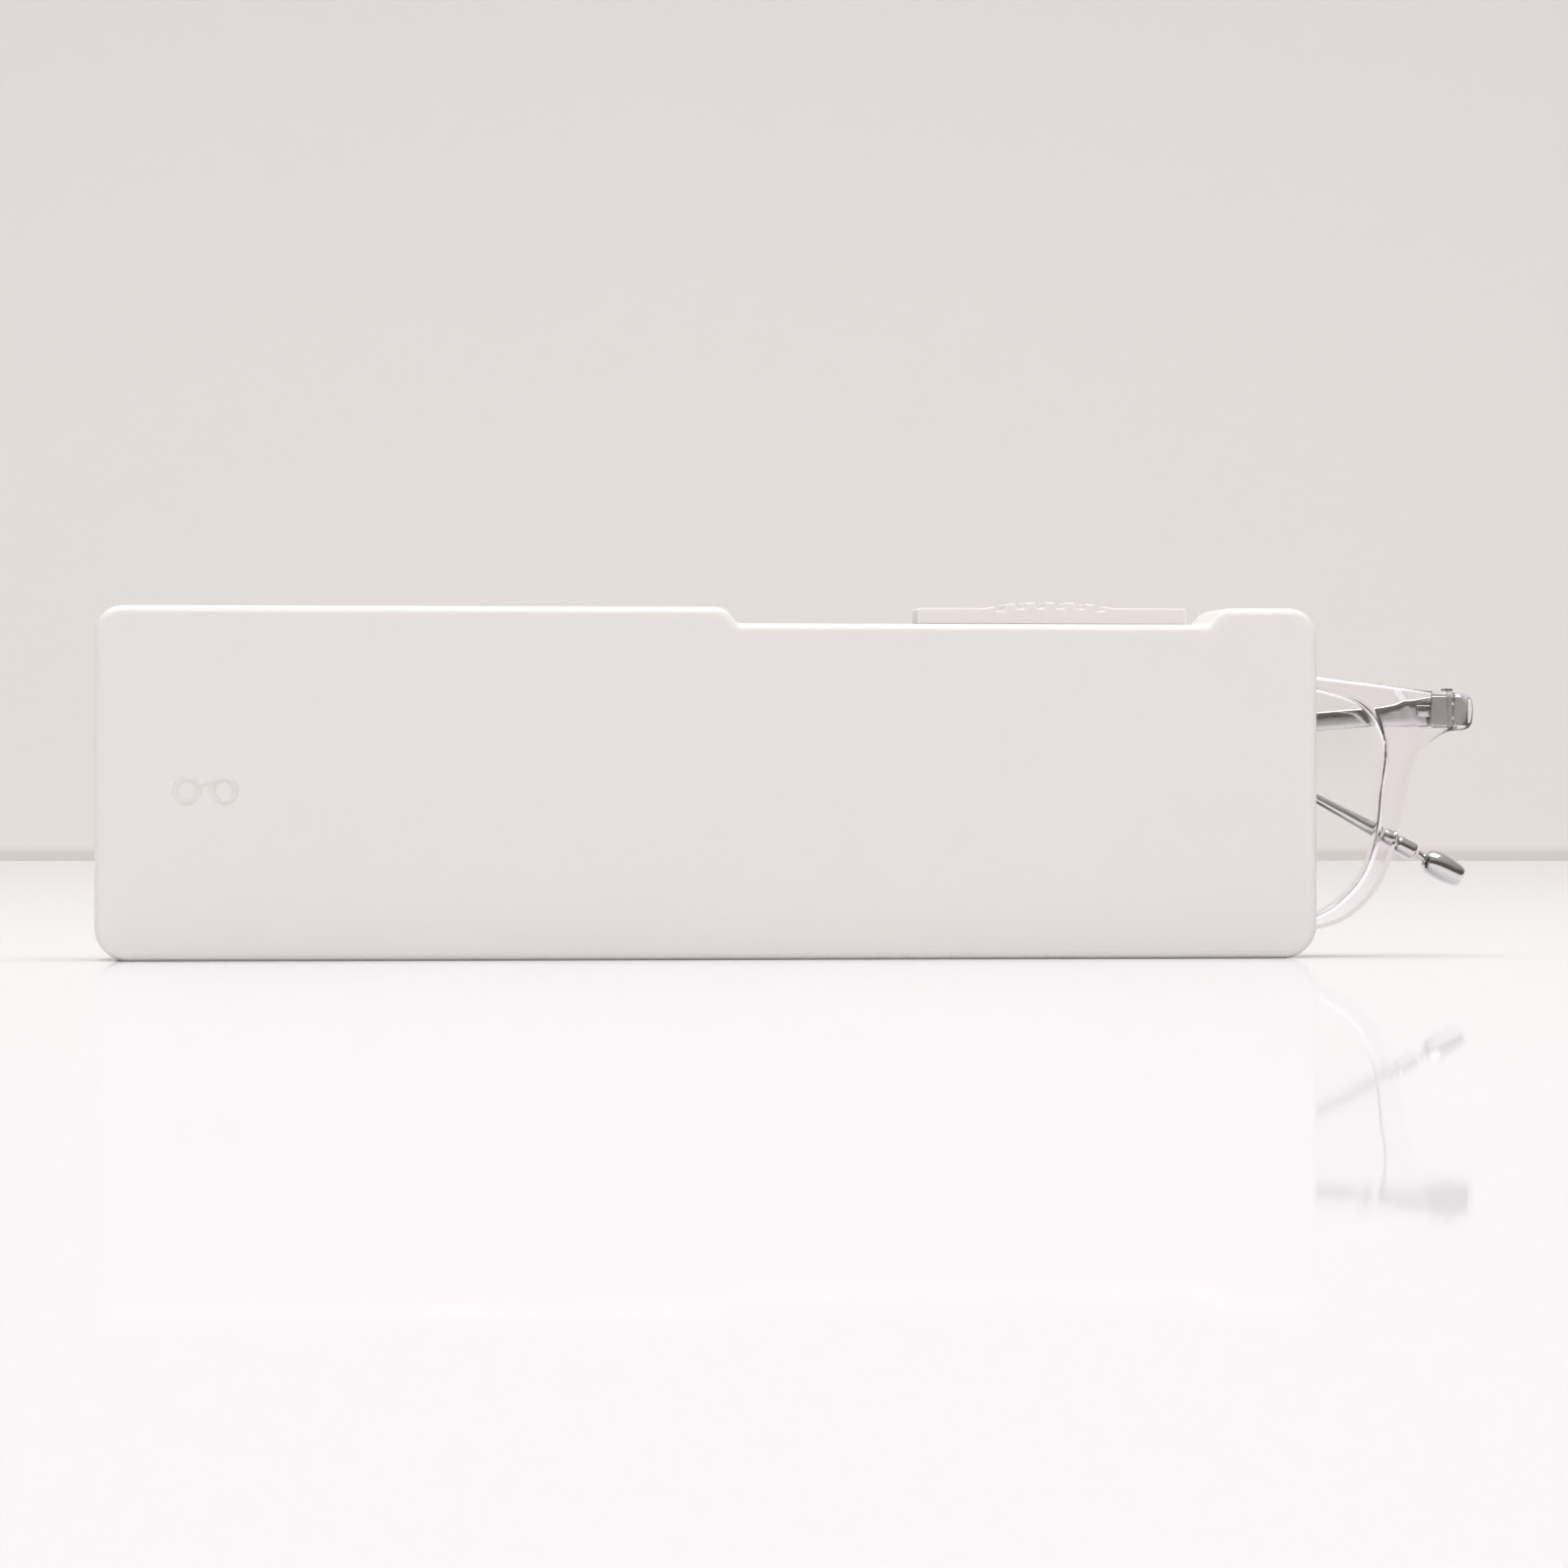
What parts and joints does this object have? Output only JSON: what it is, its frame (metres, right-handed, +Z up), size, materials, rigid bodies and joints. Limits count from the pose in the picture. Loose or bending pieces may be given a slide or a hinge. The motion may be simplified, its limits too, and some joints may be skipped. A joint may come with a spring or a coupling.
{
  "type": "slide-out glasses case with folding glasses",
  "caption": "Slim white glasses case with a thumb slider on its top edge that pushes folded clear-framed glasses with steel temples out of its open end.",
  "frame": {"origin": "middle of the flat underside that the case stands on", "axes": "+X along the case towards its open mouth, -Y out of the broad front with the emblem, +Z up through the edge with the slider"},
  "size_m": [0.1783, 0.016, 0.0458],
  "materials": {
    "case_plastic": "satin white moulded plastic, fine even surface",
    "inner_plastic": "plain off-white moulded plastic",
    "felt": "short soft pile, pale grey",
    "silicone": "milky soft silicone",
    "clear_plastic": "clear glossy acetate, very slightly warm grey",
    "lens_glass": "clear, untinted",
    "polished_steel": "polished bare steel",
    "spring_steel": "plain spring steel"
  },
  "bodies": {
    "case": {"case_front_shell": "case_plastic", "case_back_shell": "case_plastic", "felt_liner": "felt"},
    "carriage": {"slider_button": "case_plastic", "carriage_rail": "inner_plastic", "pusher_pad": "silicone", "slider_screw_1": "polished_steel", "slider_screw_2": "polished_steel", "detent_spring": "spring_steel"},
    "glasses": {"frame_front": "clear_plastic", "lens_left": "lens_glass", "lens_right": "lens_glass", "nose_pad_left": "silicone", "nose_pad_right": "silicone", "frame_hinge_left": "polished_steel", "frame_hinge_right": "polished_steel", "hinge_screw_left": "polished_steel", "hinge_screw_right": "polished_steel"},
    "temple_left": {"temple_hinge_left": "polished_steel", "temple_bar_left": "polished_steel", "temple_sleeve_left": "polished_steel", "temple_tip_left": "polished_steel"},
    "temple_right": {"temple_hinge_right": "polished_steel", "temple_bar_right": "polished_steel", "temple_sleeve_right": "polished_steel", "temple_tip_right": "polished_steel"}
  },
  "joints": [
    {"name": "slider_slide", "type": "slide", "parent": "case", "child": "carriage", "axis": [1, 0, 0], "range_m": [-0.0224, 0]},
    {"name": "glasses_pull_out", "type": "slide", "parent": "carriage", "child": "glasses", "axis": [1, 0, 0], "range_m": [0, 0.125]},
    {"name": "temple_left_hinge", "type": "hinge", "parent": "glasses", "child": "temple_left", "pos_m": [0.0972, 0.002, 0.0319], "axis": [0, 0, -1], "range_deg": [0, 0.3]},
    {"name": "temple_right_hinge", "type": "hinge", "parent": "glasses", "child": "temple_right", "pos_m": [-0.0394, 0.002, 0.0319], "axis": [0, 0, 1], "range_deg": [0, 0.2]}
  ]
}
